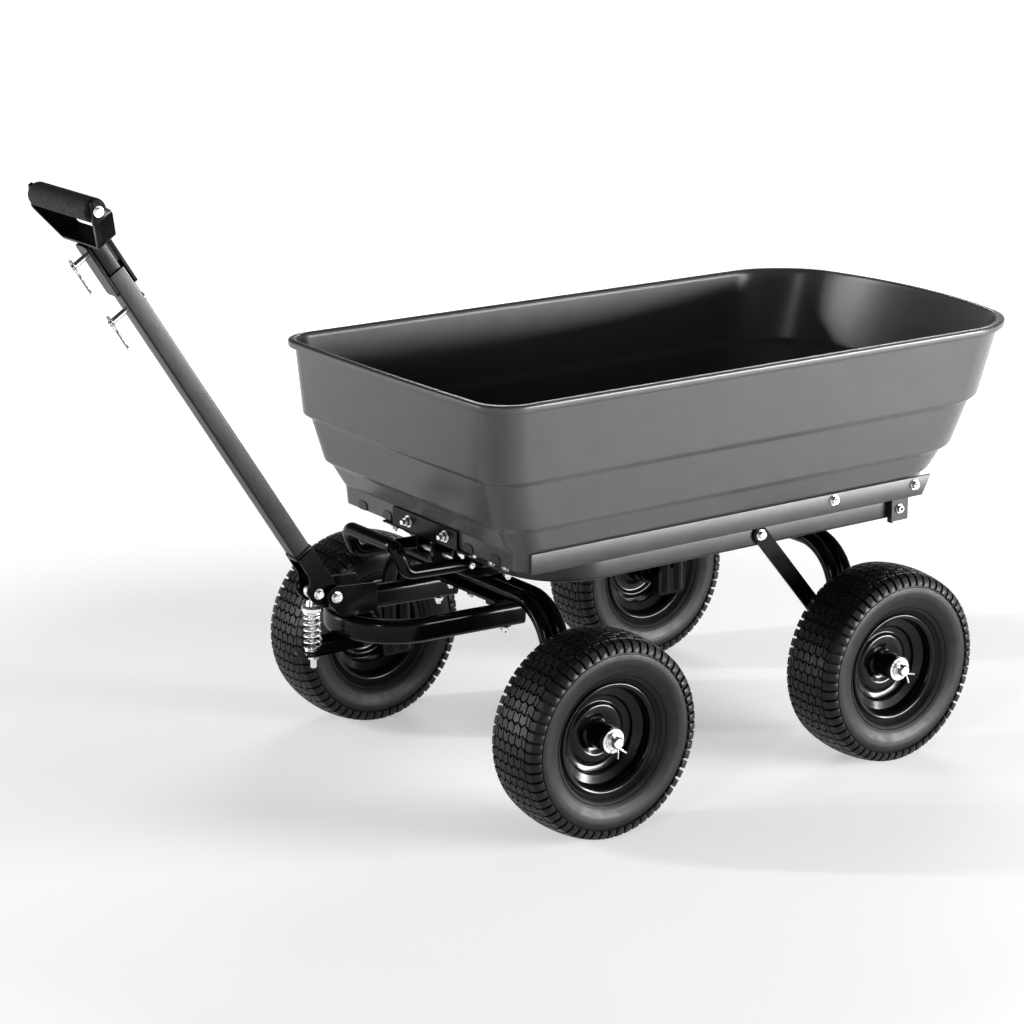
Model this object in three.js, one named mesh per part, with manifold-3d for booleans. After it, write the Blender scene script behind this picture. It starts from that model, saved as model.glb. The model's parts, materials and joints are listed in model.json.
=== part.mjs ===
// A four-wheeled garden dump cart: a moulded tub on a steel chassis, tipped about a hinge at the rear.
// Millimetres. +X points forward to the pull handle, +Y to the cart's left, +Z up, ground at Z = 0.
// Inside the cart group X = 0 is halfway between the axles; the exported group moves that to mid-length.
import * as THREE from "three";
import { mergeVertices } from "three/addons/utils/BufferGeometryUtils.js";
import Module from "manifold-3d";

const wasm = await Module();
wasm.setup();

// ---- driving dimensions ----
const GAP = 0.35; // between touching pieces

const WHEEL_R = 165;
const TYRE_W = 116;
const TYRE_SIDES = 24; // flat facets, so that the cart stands still
const AXLE_X = 294.5; // front axle at +AXLE_X, rear axle at -AXLE_X
const TRACK_Y = 330; // middle of each wheel
const RIM_R = 84; // bead seat
const HUB_R = 21;
const HUB_HALF = 44;
const SPINDLE_R = 9.5;

const ARCH_TUBE_R = 12.5;
const ARCH_TUBE_DX = 13.6; // each arch is a pair of tubes, this far from the axle line
const ARCH_TOP_Z = 340;
const ARCH_LEG_Y = 230;
const ARCH_BEND_R = 85;
const ARCH_FOOT_Z = 148;

const RAIL_H = 34;
const RAIL_W = 25;
const RAIL_Z = 377; // underside of the chassis rails
const RAIL_Y = 245; // outer face of the rails
const RAIL_REAR_X = -385;
const RAIL_FRONT_X = 328;
const RAIL_BEND_R = 112; // outer radius of the front bends

const KINGPIN_X = 280;
const YOKE_Z = 283; // underside at the front bend
const YOKE_H = 38;
const YOKE_W = 25;
const YOKE_Y = 108; // outer face of the yoke's legs
const YOKE_FRONT_X = 560;
const YOKE_REAR_X = 266;
const YOKE_DROP = 8; // the legs slope down this much towards the rear

const PIVOT = new THREE.Vector3(572, 0, 357); // handle pivot
const TRUNNION = new THREE.Vector3(597.5, 0, 363.5); // where the spring rod hangs from the handle
const HANDLE_ANGLE = THREE.MathUtils.degToRad(57.4);
const HANDLE_TUBE = 30;
const TUBE_START = 89; // distances along the handle from its pivot
const TUBE_END = 652;
const CLEVIS_START = 620;
const CLEVIS_END = 713.6;
const GRIP_AT = 778;
const GRIP_R = 18;
const GRIP_HALF = 91;

const HINGE = new THREE.Vector3(-401, 0, 392); // tub hinge line
const RIM_TOP_Z = 697;
const TUB_WALL = 4;

// ---- materials ----
function material(color, roughness, metalness) {
  return new THREE.MeshStandardMaterial({ color, roughness, metalness });
}
const TUB_PLASTIC = material(0x55575a, 0.55, 0);
const BLACK_STEEL = material(0x121213, 0.32, 0.3);
const GREY_STEEL = material(0x2b2c2e, 0.45, 0.3);
const RUBBER = material(0x18181a, 0.85, 0);
const RIM_STEEL = material(0x0c0c0d, 0.25, 0.4);
const ZINC = material(0xb9bbbd, 0.3, 0.9);
const FOAM = material(0x1b1b1c, 0.95, 0);
const NYLON = material(0x222224, 0.6, 0);

// ---- solids ----
function solid(geometry) {
  const bare = geometry.index ? geometry.toNonIndexed() : geometry.clone();
  bare.deleteAttribute("normal");
  bare.deleteAttribute("uv");
  const merged = mergeVertices(bare, 1e-3);
  return new wasm.Manifold(
    new wasm.Mesh({
      numProp: 3,
      vertProperties: merged.attributes.position.array,
      triVerts: new Uint32Array(merged.index.array),
    }),
  );
}

function toGeometry(manifold) {
  const mesh = manifold.getMesh();
  const geometry = new THREE.BufferGeometry();
  geometry.setAttribute("position", new THREE.BufferAttribute(mesh.vertProperties, 3));
  geometry.setIndex(new THREE.BufferAttribute(mesh.triVerts, 1));
  return geometry;
}

function join(...geometries) {
  return toGeometry(geometries.map(solid).reduce((all, one) => all.add(one)));
}

function cut(geometry, ...tools) {
  return toGeometry(tools.map(solid).reduce((left, tool) => left.subtract(tool), solid(geometry)));
}

function box(x0, x1, y0, y1, z0, z1) {
  const block = new THREE.BoxGeometry(x1 - x0, y1 - y0, z1 - z0);
  return block.translate((x0 + x1) / 2, (y0 + y1) / 2, (z0 + z1) / 2);
}

function outline(points) {
  return new THREE.Shape(points.map(([a, b]) => new THREE.Vector2(a, b)));
}

function flat(shape, depth) {
  return new THREE.ExtrudeGeometry(shape, { depth, bevelEnabled: false, curveSegments: 8 });
}

// A plate whose outline is drawn in X and Z, between two heights in Y.
function plateXZ(shape, y0, y1) {
  return flat(shape, y1 - y0).rotateX(Math.PI / 2).translate(0, y1, 0);
}

// A cylinder along "x", "y" or "z" from a to b.
function rod(axis, r, a, b, [u, v], sides = 16) {
  const geometry = new THREE.CylinderGeometry(r, r, b - a, sides);
  const middle = (a + b) / 2;
  if (axis === "x") return geometry.rotateZ(Math.PI / 2).translate(middle, u, v);
  if (axis === "y") return geometry.translate(u, middle, v);
  return geometry.rotateX(Math.PI / 2).translate(u, v, middle);
}

// A closed ring section of [radius, height] points turned about Y.
function ring(points, sides = 24, start = 0) {
  const profile = [...points, points[0]].map(([r, y]) => new THREE.Vector2(r, y));
  return new THREE.LatheGeometry(profile, sides, start);
}

// An arc in the plane of two unit vectors.
class ArcCurve3 extends THREE.Curve {
  constructor(centre, toStart, toEnd, radius, angle) {
    super();
    Object.assign(this, { centre, toStart, toEnd, radius, angle });
  }
  getPoint(t, target = new THREE.Vector3()) {
    const turn = this.angle * t;
    return target
      .copy(this.centre)
      .addScaledVector(this.toStart, this.radius * Math.cos(turn))
      .addScaledVector(this.toEnd, this.radius * Math.sin(turn));
  }
}

// A path of straight runs joined by bends of one radius.
function bentPath(points, radius) {
  const corners = points.map((p) => new THREE.Vector3(...p));
  const path = new THREE.CurvePath();
  let from = corners[0];
  for (let i = 1; i < corners.length - 1; i++) {
    const before = corners[i].clone().sub(corners[i - 1]).normalize();
    const after = corners[i + 1].clone().sub(corners[i]).normalize();
    const turn = before.angleTo(after);
    const reach = radius * Math.tan(turn / 2);
    const start = corners[i].clone().addScaledVector(before, -reach);
    const inward = after.clone().addScaledVector(before, -after.dot(before)).normalize();
    const centre = start.clone().addScaledVector(inward, radius);
    path.add(new THREE.LineCurve3(from, start));
    path.add(new ArcCurve3(centre, inward.clone().negate(), before, radius, turn));
    from = corners[i].clone().addScaledVector(after, reach);
  }
  path.add(new THREE.LineCurve3(from, corners.at(-1)));
  return path;
}

function tube(path, section, steps) {
  return new THREE.ExtrudeGeometry(section, { extrudePath: path, steps, bevelEnabled: false });
}

function roundSection(r, sides = 12) {
  const points = [];
  for (let i = 0; i < sides; i++) {
    const a = (2 * Math.PI * (i + 0.5)) / sides;
    points.push([r * Math.cos(a), r * Math.sin(a)]);
  }
  return outline(points);
}

function boxSection(halfA, halfB, chamfer) {
  return outline([
    [halfA, halfB - chamfer],
    [halfA - chamfer, halfB],
    [chamfer - halfA, halfB],
    [-halfA, halfB - chamfer],
    [-halfA, chamfer - halfB],
    [chamfer - halfA, -halfB],
    [halfA - chamfer, -halfB],
    [halfA, chamfer - halfB],
  ]);
}

const cart = new THREE.Group();

function add(name, geometry, look, parent = cart) {
  const mesh = new THREE.Mesh(geometry, look);
  mesh.name = name;
  parent.add(mesh);
  return mesh;
}

const SIDES = [
  ["left", 1],
  ["right", -1],
];

// Mirrors a box given for the left side onto side s.
function sideBox(s, x0, x1, y0, y1, z0, z1) {
  return s > 0 ? box(x0, x1, y0, y1, z0, z1) : box(x0, x1, -y1, -y0, z0, z1);
}

function sideRod(s, r, y0, y1, at, sides) {
  return s > 0 ? rod("y", r, y0, y1, at, sides) : rod("y", r, -y1, -y0, at, sides);
}

function sidePlate(s, shape, y0, y1) {
  return s > 0 ? plateXZ(shape, y0, y1) : plateXZ(shape, -y1, -y0);
}

// ---- wheels ----
// Turned about +Y, which points out of the wheel.
function flats(r, sides = TYRE_SIDES) {
  return r / Math.cos(Math.PI / sides);
}

// A [radius, height] profile followed by its own reflection in the wheel's middle plane.
function mirrored(points) {
  return [...points, ...points.map(([r, y]) => [r, -y]).reverse()];
}

// A tyre is an open-bottomed section: the outside from bead to bead, then the inside back again.
function tyreGeometry() {
  const half = TYRE_W / 2;
  const tread = flats(WHEEL_R);
  const outside = mirrored([
    [RIM_R + 0.8, -33],
    [RIM_R + 8, -35],
    [RIM_R + 14, -46],
    [114, -54],
    [132, -half],
    [147, -half + 2],
    [tread - 5, -half + 12],
    [tread, -half + 26],
  ]);
  const inside = mirrored([
    [RIM_R + 0.8, 24],
    [RIM_R + 8, 27],
    [109, 45],
    [134, 48],
    [154, 22],
  ]);
  return ring([...outside, ...inside], TYRE_SIDES, Math.PI / TYRE_SIDES);
}

function rimGeometry() {
  const bore = SPINDLE_R + 3.5;
  const barrel = mirrored([
    [90, -38],
    [RIM_R, -34],
    [RIM_R - 2, -18],
    [66, -12],
  ]);
  const dish = [
    [87, 39.5],
    [RIM_R - 4, 36],
    [RIM_R - 5, 20],
    [62, 12],
    [38, -2],
    [HUB_R, -4],
    [HUB_R, HUB_HALF],
    [bore, HUB_HALF],
    [bore, -HUB_HALF],
    [HUB_R, -HUB_HALF],
    [HUB_R, -8],
    [38, -6],
    [63, 5],
    [63, -14],
    [RIM_R - 5, -20],
    [RIM_R - 4, -36],
    [87, -39.5],
  ];
  return ring([...barrel, ...dish], TYRE_SIDES, Math.PI / TYRE_SIDES);
}

// A flanged sleeve pressed into the hub, running on the spindle.
function bearingGeometry() {
  const inner = SPINDLE_R + 0.4;
  const outer = SPINDLE_R + 3.1;
  const face = HUB_HALF + GAP;
  return ring([
    [inner, -HUB_HALF],
    [outer, -HUB_HALF],
    [outer, face],
    [17, face],
    [17, face + 2.5],
    [inner, face + 2.5],
  ]);
}

for (const [end, x] of [["front", AXLE_X], ["rear", -AXLE_X]]) {
  for (const [side, s] of SIDES) {
    const wheel = new THREE.Group();
    wheel.position.set(x, s * TRACK_Y, WHEEL_R);
    if (s < 0) wheel.rotation.z = Math.PI;
    cart.add(wheel);
    add(`tyre_${end}_${side}`, tyreGeometry(), RUBBER, wheel);
    add(`rim_${end}_${side}`, rimGeometry(), RIM_STEEL, wheel);
    add(`hub_bearing_${end}_${side}`, bearingGeometry(), NYLON, wheel);
  }
}

// ---- axle arches ----
// A pair of bent tubes that stand on a foot at each side; the spindles are bolted through the feet.
const FOOT_Y = RAIL_Y;
const FOOT_HALF = 30;

function archGeometry(x) {
  const tubes = [-1, 1].map((s) => {
    const at = x + s * ARCH_TUBE_DX;
    const route = [
      [at, ARCH_LEG_Y, ARCH_FOOT_Z],
      [at, ARCH_LEG_Y, ARCH_TOP_Z],
      [at, -ARCH_LEG_Y, ARCH_TOP_Z],
      [at, -ARCH_LEG_Y, ARCH_FOOT_Z],
    ];
    return tube(bentPath(route, ARCH_BEND_R), roundSection(ARCH_TUBE_R, 8), 34);
  });
  const feet = SIDES.map(([, s]) =>
    sideBox(s, x - FOOT_HALF, x + FOOT_HALF, ARCH_LEG_Y - 8, FOOT_Y, WHEEL_R - 24, WHEEL_R + 24),
  );
  const lashing = box(x - 6, x + 6, -150, 150, ARCH_TOP_Z - 6, ARCH_TOP_Z + 6);
  return join(...tubes, ...feet, lashing);
}

add("front_axle_arch", archGeometry(AXLE_X), BLACK_STEEL);
add("rear_axle_arch", archGeometry(-AXLE_X), BLACK_STEEL);

const BRACE_T = 5;
const BRACE_TOP = [-99.5, 397];
const BRACE_FACE = FOOT_Y + GAP + BRACE_T;
const SPINDLE_END = TRACK_Y + HUB_HALF + 20;

for (const [end, x, face] of [["front", AXLE_X, FOOT_Y], ["rear", -AXLE_X, BRACE_FACE]]) {
  for (const [side, s] of SIDES) {
    const at = [x, WHEEL_R];
    const start = face + GAP;
    const collarEnd = TRACK_Y - HUB_HALF - 1;
    const collar = sideRod(s, 16, start, collarEnd, at);
    const shaft = sideRod(s, SPINDLE_R, start, SPINDLE_END, at);
    add(`spindle_${end}_${side}`, join(collar, shaft), ZINC);
  }
}

// ---- chassis ----
const RAIL_MID_Z = RAIL_Z + RAIL_H / 2;
const RAIL_INNER_Y = RAIL_Y - RAIL_W;
const LUG_T = 6;

// A slot-shaped plate outline between two centres.
function link(x0, z0, x1, z1, r) {
  const along = Math.atan2(z1 - z0, x1 - x0);
  const shape = new THREE.Shape();
  shape.absarc(x1, z1, r, along - Math.PI / 2, along + Math.PI / 2, false);
  shape.absarc(x0, z0, r, along + Math.PI / 2, along + 1.5 * Math.PI, false);
  return shape;
}

function chassisGeometry() {
  const midY = RAIL_Y - RAIL_W / 2;
  const frontX = RAIL_FRONT_X - RAIL_W / 2;
  const route = [
    [RAIL_REAR_X, midY, RAIL_MID_Z],
    [frontX, midY, RAIL_MID_Z],
    [frontX, -midY, RAIL_MID_Z],
    [RAIL_REAR_X, -midY, RAIL_MID_Z],
  ];
  const section = boxSection(RAIL_H / 2, RAIL_W / 2, 3);
  const loop = tube(bentPath(route, RAIL_BEND_R - RAIL_W / 2), section, 48);
  const lug = link(RAIL_REAR_X + 30, HINGE.z, HINGE.x, HINGE.z, 15);
  const lugs = SIDES.map(([, s]) => sidePlate(s, lug, RAIL_INNER_Y - LUG_T, RAIL_INNER_Y + 1));
  const holes = SIDES.map(([, s]) =>
    sideRod(s, 6, RAIL_INNER_Y - LUG_T - 2, RAIL_INNER_Y + 3, [HINGE.x, HINGE.z], 12),
  );
  return cut(join(loop, ...lugs), ...holes);
}

add("chassis_loop", chassisGeometry(), GREY_STEEL);
const MEMBER_Y = RAIL_INNER_Y - GAP;
const RAIL_TOP_Z = RAIL_Z + RAIL_H;
add("front_cross_member", box(176, 202, -MEMBER_Y, MEMBER_Y, RAIL_Z, RAIL_TOP_Z - 1), BLACK_STEEL);
const ARCH_TOP = ARCH_TOP_Z + ARCH_TUBE_R;
add(
  "rear_cross_member",
  join(
    box(-325, -264, -MEMBER_Y, MEMBER_Y, RAIL_Z, RAIL_TOP_Z - 1),
    box(-325, -264, -130, 130, ARCH_TOP + GAP, RAIL_Z + 2),
  ),
  BLACK_STEEL,
);

// The turntable: a plate under the chassis, a bush, and a plate on the front arch turn on one kingpin.
const UPPER_PLATE_T = 6;
const LOWER_PLATE_TOP = ARCH_TOP + GAP + 6;
const KINGPIN_R = 8;
const pinAt = [KINGPIN_X, 0];
add(
  "turntable_upper_plate",
  cut(
    box(180, 330, -75, 75, RAIL_Z - GAP - UPPER_PLATE_T, RAIL_Z - GAP),
    rod("z", KINGPIN_R + 1.2, RAIL_Z - 20, RAIL_Z + 5, pinAt, 24),
  ),
  BLACK_STEEL,
);
add(
  "turntable_lower_plate",
  cut(
    box(225, 336, -68, 68, ARCH_TOP + GAP, LOWER_PLATE_TOP),
    rod("z", KINGPIN_R + 0.4, ARCH_TOP - 10, LOWER_PLATE_TOP + 5, pinAt, 24),
  ),
  BLACK_STEEL,
);
add(
  "turntable_bush",
  cut(
    rod("z", 48, LOWER_PLATE_TOP + GAP, RAIL_Z - 2 * GAP - UPPER_PLATE_T, pinAt, 32),
    rod("z", KINGPIN_R + 0.5, LOWER_PLATE_TOP - 5, RAIL_Z, pinAt, 24),
  ),
  NYLON,
);
add(
  "kingpin",
  join(
    rod("z", KINGPIN_R, ARCH_TOP + GAP, RAIL_Z + 22, pinAt, 16),
    rod("z", 13, RAIL_Z + GAP, RAIL_Z + 14, pinAt, 6),
  ),
  ZINC,
);

for (const [side, s] of SIDES) {
  const inner = RAIL_Y + GAP;
  const bar = sidePlate(s, link(BRACE_TOP[0], BRACE_TOP[1], -AXLE_X, WHEEL_R, 14), inner, inner + BRACE_T);
  add(`brace_${side}`, bar, BLACK_STEEL);
}

// ---- steering yoke and tongue ----
const YOKE_TOP = YOKE_Z + YOKE_H;

function yokeGeometry() {
  const midY = YOKE_Y - YOKE_W / 2;
  const midZ = YOKE_Z + YOKE_H / 2;
  const frontX = YOKE_FRONT_X - YOKE_W / 2;
  const route = [
    [YOKE_REAR_X, midY, midZ - YOKE_DROP],
    [frontX, midY, midZ],
    [frontX, -midY, midZ],
    [YOKE_REAR_X, -midY, midZ - YOKE_DROP],
  ];
  return tube(bentPath(route, midY - 0.5), boxSection(YOKE_W / 2, YOKE_H / 2, 7), 60);
}

add("steering_yoke", yokeGeometry(), BLACK_STEEL);
const SADDLE_TOP = ARCH_TOP_Z - ARCH_TUBE_R - GAP;
const shims = SIDES.map(([, s]) =>
  sideBox(s, YOKE_REAR_X + 2, 328, YOKE_Y - YOKE_W + 1, YOKE_Y - 1, YOKE_TOP - 5.6, YOKE_TOP + 1),
);
add(
  "yoke_saddle_plate",
  join(box(262, 330, -114, 114, YOKE_TOP + GAP, SADDLE_TOP), ...shims),
  BLACK_STEEL,
);

const FORK_INNER = 26;
const FORK_OUTER = 31;
const BOLT_R = 6;
const PIVOT_AT = [PIVOT.x, PIVOT.z];

function tongueGeometry() {
  const floor = YOKE_TOP + GAP;
  const cheek = new THREE.Shape();
  cheek.moveTo(497, floor);
  cheek.lineTo(562, floor);
  cheek.lineTo(586, floor + 26);
  cheek.absarc(PIVOT.x, PIVOT.z, 17, -0.4, Math.PI / 2, false);
  cheek.lineTo(497, PIVOT.z + 12);
  const cheeks = SIDES.map(([, s]) => sidePlate(s, cheek, FORK_INNER, FORK_OUTER));
  const base = box(497, 556, -FORK_INNER - 1, FORK_INNER + 1, floor, floor + 5);
  return cut(join(...cheeks, base), rod("y", BOLT_R + 0.6, -40, 40, PIVOT_AT));
}

add("tongue_bracket", tongueGeometry(), BLACK_STEEL);
const NUT_START = FORK_OUTER + GAP;
add(
  "handle_pivot_bolt",
  join(
    rod("y", BOLT_R, -NUT_START - 12, NUT_START + 7, PIVOT_AT),
    rod("y", 11, NUT_START, NUT_START + 7, PIVOT_AT, 6),
    rod("y", 11, -NUT_START - 8, -NUT_START, PIVOT_AT, 6),
  ),
  ZINC,
);

// A channel under the yoke's bend carries the foot of the spring.
const SEAT_BOTTOM = 262;
const SEAT_TOP = 266;
const ROD_AT = [TRUNNION.x, 0];
add(
  "spring_bracket",
  cut(
    join(
      box(517, 612, -21, 21, SEAT_BOTTOM, SEAT_TOP),
      rod("z", 21, SEAT_BOTTOM, SEAT_TOP, [606, 0], 20),
      box(517, 606, 17.5, 21, SEAT_BOTTOM, YOKE_Z - 1),
      box(517, 606, -21, -17.5, SEAT_BOTTOM, YOKE_Z - 1),
    ),
    rod("z", 10, SEAT_BOTTOM - 4, SEAT_TOP + 4, ROD_AT, 20),
  ),
  BLACK_STEEL,
);

// ---- spring rod ----
const ROD_R = 5;
const CAP_BOTTOM = 331;
const CAP_TOP = 339.5;
const BOSS_TOP = 349;
const ROD_END_Z = 238;
add(
  "spring_rod",
  cut(
    join(
      rod("z", ROD_R, ROD_END_Z, TRUNNION.z, ROD_AT, 12),
      rod("y", 11.5, -8, 8, [TRUNNION.x, TRUNNION.z], 16),
    ),
    rod("y", BOLT_R + 0.2, -12, 12, [TRUNNION.x, TRUNNION.z], 16),
  ),
  ZINC,
);

function around(zRod, r, z0, z1, sides) {
  return cut(rod("z", r, z0, z1, ROD_AT, sides), rod("z", zRod, z0 - 3, z1 + 3, ROD_AT, 16));
}

add(
  "spring_cap",
  ring([
    [ROD_R + GAP, CAP_BOTTOM],
    [17, CAP_BOTTOM],
    [17, CAP_TOP],
    [10, CAP_TOP],
    [9, BOSS_TOP],
    [ROD_R + GAP, BOSS_TOP],
  ], 20).rotateX(Math.PI / 2).translate(TRUNNION.x, 0, 0),
  ZINC,
);
add("rod_nut", around(ROD_R + GAP, 10, SEAT_BOTTOM - GAP - 9, SEAT_BOTTOM - GAP, 6), ZINC);

class Coil extends THREE.Curve {
  constructor(radius, z0, z1, turns) {
    super();
    Object.assign(this, { radius, z0, z1, turns });
  }
  getPoint(t, target = new THREE.Vector3()) {
    const turn = 2 * Math.PI * this.turns * t;
    const z = THREE.MathUtils.lerp(this.z0, this.z1, t);
    return target.set(TRUNNION.x + this.radius * Math.cos(turn), this.radius * Math.sin(turn), z);
  }
}

const WIRE_R = 2.2;
const coil = new Coil(12.8, SEAT_TOP + WIRE_R + GAP, CAP_BOTTOM - WIRE_R - GAP, 7);
add("return_spring", tube(coil, roundSection(WIRE_R, 5), 77), ZINC);

// ---- pull handle: built upright, Z along the handle and X towards its front, then leaned forward ----
const handle = new THREE.Group();
handle.position.copy(PIVOT);
handle.rotation.y = Math.PI / 2 - HANDLE_ANGLE;
cart.add(handle);

const EAR_INNER = 15.6;
const EAR_OUTER = 19.6;
const SIDEWAYS = new THREE.Vector3(0, 1, 0);
const lean = TRUNNION.clone().sub(PIVOT).applyAxisAngle(SIDEWAYS, -handle.rotation.y);
const TRUNNION_AT = [lean.x, lean.z];

function bracketGeometry() {
  const ear = outline([
    [-15, 88],
    [15, 88],
    [16, 50],
    [21, 41],
    [31, 37],
    [34, 31],
    [33, 10],
    [22, -4],
    [8, -13],
    [-8, -13],
    [-15, -4],
  ]);
  const ears = SIDES.map(([, s]) => sidePlate(s, ear, EAR_INNER, EAR_OUTER));
  const cap = box(-15, 15, -EAR_OUTER, EAR_OUTER, 84, 88);
  const web = box(-15, -11, -EAR_INNER - 1, EAR_INNER + 1, 30, 88);
  const holes = [
    rod("y", BOLT_R + 0.5, -30, 30, [0, 0]),
    rod("y", BOLT_R - 1 + GAP, -30, 30, TRUNNION_AT),
  ];
  return cut(join(...ears, cap, web), ...holes);
}

add("handle_bracket", bracketGeometry(), BLACK_STEEL, handle);
add(
  "trunnion_bolt",
  join(
    rod("y", BOLT_R - 1, -25.2, 25.2, TRUNNION_AT, 16),
    rod("y", 9.5, EAR_OUTER + GAP, 25.2, TRUNNION_AT, 6),
    rod("y", 9.5, -25.2, -EAR_OUTER - GAP, TRUNNION_AT, 6),
  ),
  ZINC,
  handle,
);

const PIN_R = 4.5;
const PINS = [
  ["upper", 695, 20],
  ["lower", 590, 15],
];
const pinHoles = PINS.map(([, z]) => rod("x", PIN_R + 0.5, -30, 30, [0, z], 12));
const half = HANDLE_TUBE / 2;
const WALL = 2.5;
const bore = flat(boxSection(half - WALL, half - WALL, 1), 600).translate(0, 0, 80);
const outerTube = flat(boxSection(half, half, 2.5), TUBE_END - TUBE_START);
outerTube.translate(0, 0, TUBE_START);
add("handle_tube", cut(outerTube, bore, ...pinHoles), GREY_STEEL, handle);

function clevisPlate(x0, x1) {
  const w = 17;
  const c = 6;
  const shape = boxSection(w, (CLEVIS_END - CLEVIS_START) / 2, c);
  const plate = flat(shape, x1 - x0).rotateX(Math.PI / 2).rotateZ(Math.PI / 2);
  return cut(plate.translate(x0, 0, (CLEVIS_START + CLEVIS_END) / 2), ...pinHoles);
}

add("tow_plate_front", clevisPlate(half + GAP, half + 5), BLACK_STEEL, handle);
add("tow_plate_back", clevisPlate(-half - 5, -half - GAP), BLACK_STEEL, handle);

const STEM = 11.6;
const STRAP_Z = 714;
const stem = flat(boxSection(STEM, STEM, 1.5), STRAP_Z - GAP - 560).translate(0, 0, 560);
add("grip_stem", cut(stem, ...pinHoles), BLACK_STEEL, handle);

const CLIP_X = 46;
for (const [name, z, face] of PINS) {
  const head = face + GAP;
  const clipHole = rod("z", 1.7, z - 8, z + 8, [CLIP_X, 0], 8);
  const shank = rod("x", PIN_R, -head - 3, CLIP_X + 5, [0, z], 12);
  const pin = join(shank, rod("x", 7.5, -head - 4, -head, [0, z], 12));
  add(`hitch_pin_${name}`, cut(pin, clipHole), ZINC, handle);
  const route = new THREE.CatmullRomCurve3(
    [
      [0, -50],
      [0, -25],
      [0, 0],
      [0.5, 9],
      [4, 14],
      [9, 13],
      [11, 8],
      [8.5, 0],
      [7, -8],
      [3.4, -18],
      [4.6, -28],
      [3.6, -38],
    ].map(([y, dz]) => new THREE.Vector3(CLIP_X, y, z + dz)),
  );
  add(`r_clip_${name}`, tube(route, roundSection(1.2, 5), 30), ZINC, handle);
}

function strapGeometry() {
  const arm = 97;
  const foot = 54;
  const t = 5;
  const bendZ = 762;
  const topZ = GRIP_AT + 17;
  const band = outline([
    [arm, topZ],
    [arm - t, topZ],
    [arm - t, bendZ + 2],
    [foot - 2.5, STRAP_Z + t],
    [2.5 - foot, STRAP_Z + t],
    [t - arm, bendZ + 2],
    [t - arm, topZ],
    [-arm, topZ],
    [-arm, bendZ],
    [-foot, STRAP_Z],
    [foot, STRAP_Z],
    [arm, bendZ],
  ]);
  // Drawn in Y and Z and extruded along X.
  const strap = flat(band, 34).rotateX(Math.PI / 2).rotateZ(Math.PI / 2).translate(-17, 0, 0);
  const rounding = plateXZ(link(0, STRAP_Z, 0, GRIP_AT, 17), -arm - 5, arm + 5);
  const kept = join(rounding, box(-17, 17, -60, 60, 700, 730));
  const rounded = toGeometry(solid(strap).intersect(solid(kept)));
  return cut(rounded, rod("y", BOLT_R + 0.5, -110, 110, [0, GRIP_AT]));
}

add("grip_strap", strapGeometry(), BLACK_STEEL, handle);
const GRIP = new THREE.Group();
GRIP.position.z = GRIP_AT;
handle.add(GRIP);
add(
  "grip_foam",
  ring(
    mirrored([
      [BOLT_R + 1, -GRIP_HALF],
      [GRIP_R - 3, -GRIP_HALF],
      [GRIP_R, 4 - GRIP_HALF],
    ]),
    20,
    Math.PI / 20,
  ),
  FOAM,
  GRIP,
);
add(
  "grip_bolt",
  join(
    rod("y", BOLT_R, -104, 104, [0, 0]),
    rod("y", 10, 97 + GAP, 104, [0, 0], 16),
    rod("y", 10, -104, -97 - GAP, [0, 0], 16),
  ),
  ZINC,
  GRIP,
);

// ---- tub ----
// Each level of the tub's skin: height, front X, half width, rear corner X, how far the rear edge bows out
// and the radius of the front corners.
const SKIN = [
  { z: 416, front: 381, half: 256, rear: -483, bow: 38, corner: 24 },
  { z: 446, front: 383, half: 258, rear: -487, bow: 38, corner: 24 },
  { z: 452, front: 391, half: 268, rear: -495, bow: 40, corner: 46 },
  { z: 485, front: 410, half: 276, rear: -515, bow: 43, corner: 50 },
  { z: 493, front: 420, half: 285, rear: -526, bow: 45, corner: 54 },
  { z: 565, front: 440, half: 292, rear: -556, bow: 52, corner: 55 },
  { z: 573, front: 451, half: 300, rear: -567, bow: 54, corner: 56 },
  { z: 684, front: 458, half: 308, rear: -598, bow: 64, corner: 56 },
];
const LIP = { z: 684, front: 467, half: 316, rear: -606, bow: 65, corner: 56 };

function tubRing(level, inset, z) {
  const front = level.front - inset;
  const rear = level.rear + inset;
  const half = level.half - inset;
  const points = [];
  const corners = [
    [front, half, level.corner - inset, 1, 1],
    [rear, half, 98 - inset, -1, 1],
    [rear, -half, 98 - inset, -1, -1],
    [front, -half, level.corner - inset, 1, -1],
  ];
  const arcSteps = 5;
  corners.forEach(([x, y, r, sx, sy], i) => {
    for (let k = 0; k <= arcSteps; k++) {
      const a = ((i + k / arcSteps) * Math.PI) / 2;
      points.push([x - sx * r + r * Math.cos(a), y - sy * r + r * Math.sin(a)]);
    }
    if (i === 1 || i === 3) {
      const edge = half - r;
      const spans = 8;
      for (let k = 1; k < spans; k++) points.push([x, sy * edge * (1 - (2 * k) / spans)]);
    }
  });
  // The rear edge bows out between the corners, and the front edge a little.
  const middle = (front + rear) / 2;
  const frontBow = THREE.MathUtils.mapLinear(Math.max(z, 452), 452, RIM_TOP_Z, 0, 8);
  return points.map(([x, y]) => {
    const share = ((x - middle) / (front - middle)) ** 2 * (1 - (y / half) ** 2);
    const bow = x < middle ? -level.bow : frontBow;
    return new THREE.Vector3(x + bow * share, y, z);
  });
}

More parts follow.
